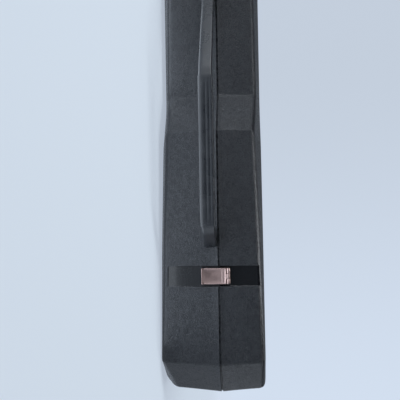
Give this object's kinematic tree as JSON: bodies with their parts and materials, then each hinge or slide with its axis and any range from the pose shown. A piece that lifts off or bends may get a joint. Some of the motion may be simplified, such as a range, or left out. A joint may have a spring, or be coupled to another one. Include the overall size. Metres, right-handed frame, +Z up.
{
  "type": "electric guitar case",
  "caption": "Hard moulded case for an electric guitar, with a hinged lid, snap latches, a long carrying handle and a padded inside.",
  "frame": {"origin": "middle of the outer box, on the surface that the closed case lies on", "axes": "+X along the case to the tail end, +Z up through the lid, and the handle edge faces -Y"},
  "size_m": [1.07, 0.4432, 0.1453],
  "materials": {
    "shell_plastic": "black moulded plastic with a leather-like grain",
    "handle_plastic": "black moulded plastic, worn smooth on the grip",
    "nickel": "satin nickel plate with fine scratches",
    "steel": "plain zinc-plated steel",
    "plush": "short dark plush over foam",
    "ribbon": "woven ribbon"
  },
  "bodies": {
    "base": {"base_shell": "shell_plastic", "base_insert": "plush", "neck_rest": "plush", "handle": "handle_plastic", "handle_lower_backing_plate": "steel", "handle_upper_backing_plate": "steel", "handle_screw_1": "steel", "handle_screw_2": "steel", "handle_screw_3": "steel", "handle_screw_4": "steel", "latch_1_strike": "nickel", "latch_1_strike_rivet_1": "nickel", "latch_1_strike_rivet_2": "nickel", "latch_2_strike": "nickel", "latch_2_strike_rivet_1": "nickel", "latch_2_strike_rivet_2": "nickel", "latch_3_strike": "nickel", "latch_3_strike_rivet_1": "nickel", "latch_3_strike_rivet_2": "nickel", "hinge_1_base_leaf": "nickel", "hinge_1_base_rivet_1": "nickel", "hinge_1_base_rivet_2": "nickel", "hinge_1_pin": "steel", "hinge_2_base_leaf": "nickel", "hinge_2_base_rivet_1": "nickel", "hinge_2_base_rivet_2": "nickel", "hinge_2_pin": "steel"},
    "lid": {"lid_shell": "shell_plastic", "lid_liner": "plush", "latch_1_leaf": "nickel", "latch_1_leaf_rivet_1": "nickel", "latch_1_leaf_rivet_2": "nickel", "latch_1_pin": "steel", "latch_2_leaf": "nickel", "latch_2_leaf_rivet_1": "nickel", "latch_2_leaf_rivet_2": "nickel", "latch_2_pin": "steel", "latch_3_leaf": "nickel", "latch_3_leaf_rivet_1": "nickel", "latch_3_leaf_rivet_2": "nickel", "latch_3_pin": "steel", "hinge_1_lid_leaf": "nickel", "hinge_1_lid_rivet_1": "nickel", "hinge_1_lid_rivet_2": "nickel", "hinge_2_lid_leaf": "nickel", "hinge_2_lid_rivet_1": "nickel", "hinge_2_lid_rivet_2": "nickel"},
    "latch_flap_1": {"latch_1_flap": "nickel"},
    "latch_flap_2": {"latch_2_flap": "nickel"},
    "latch_flap_3": {"latch_3_flap": "nickel"},
    "compartment_lid": {"compartment_lid": "plush", "compartment_tab": "ribbon"}
  },
  "joints": [
    {"name": "lid_hinge", "type": "hinge", "parent": "base", "child": "lid", "pos_m": [0.3225, 0.21815, 0.08315], "axis": [-1, 0, 0], "range_deg": [0, 105]},
    {"name": "latch_1_hinge", "type": "hinge", "parent": "lid", "child": "latch_flap_1", "pos_m": [0.364, -0.17245, 0.096], "axis": [-1, 0, 0], "range_deg": [0, 150]},
    {"name": "latch_2_hinge", "type": "hinge", "parent": "lid", "child": "latch_flap_2", "pos_m": [-0.165, -0.11245, 0.096], "axis": [-1, 0, 0], "range_deg": [0, 150]},
    {"name": "latch_3_hinge", "type": "hinge", "parent": "lid", "child": "latch_flap_3", "pos_m": [-0.425, -0.11245, 0.096], "axis": [-1, 0, 0], "range_deg": [0, 150]},
    {"name": "compartment_hinge", "type": "hinge", "parent": "base", "child": "compartment_lid", "pos_m": [-0.115, 0.13823, 0.046], "axis": [-1, 0, 0], "range_deg": [0, 75]}
  ]
}
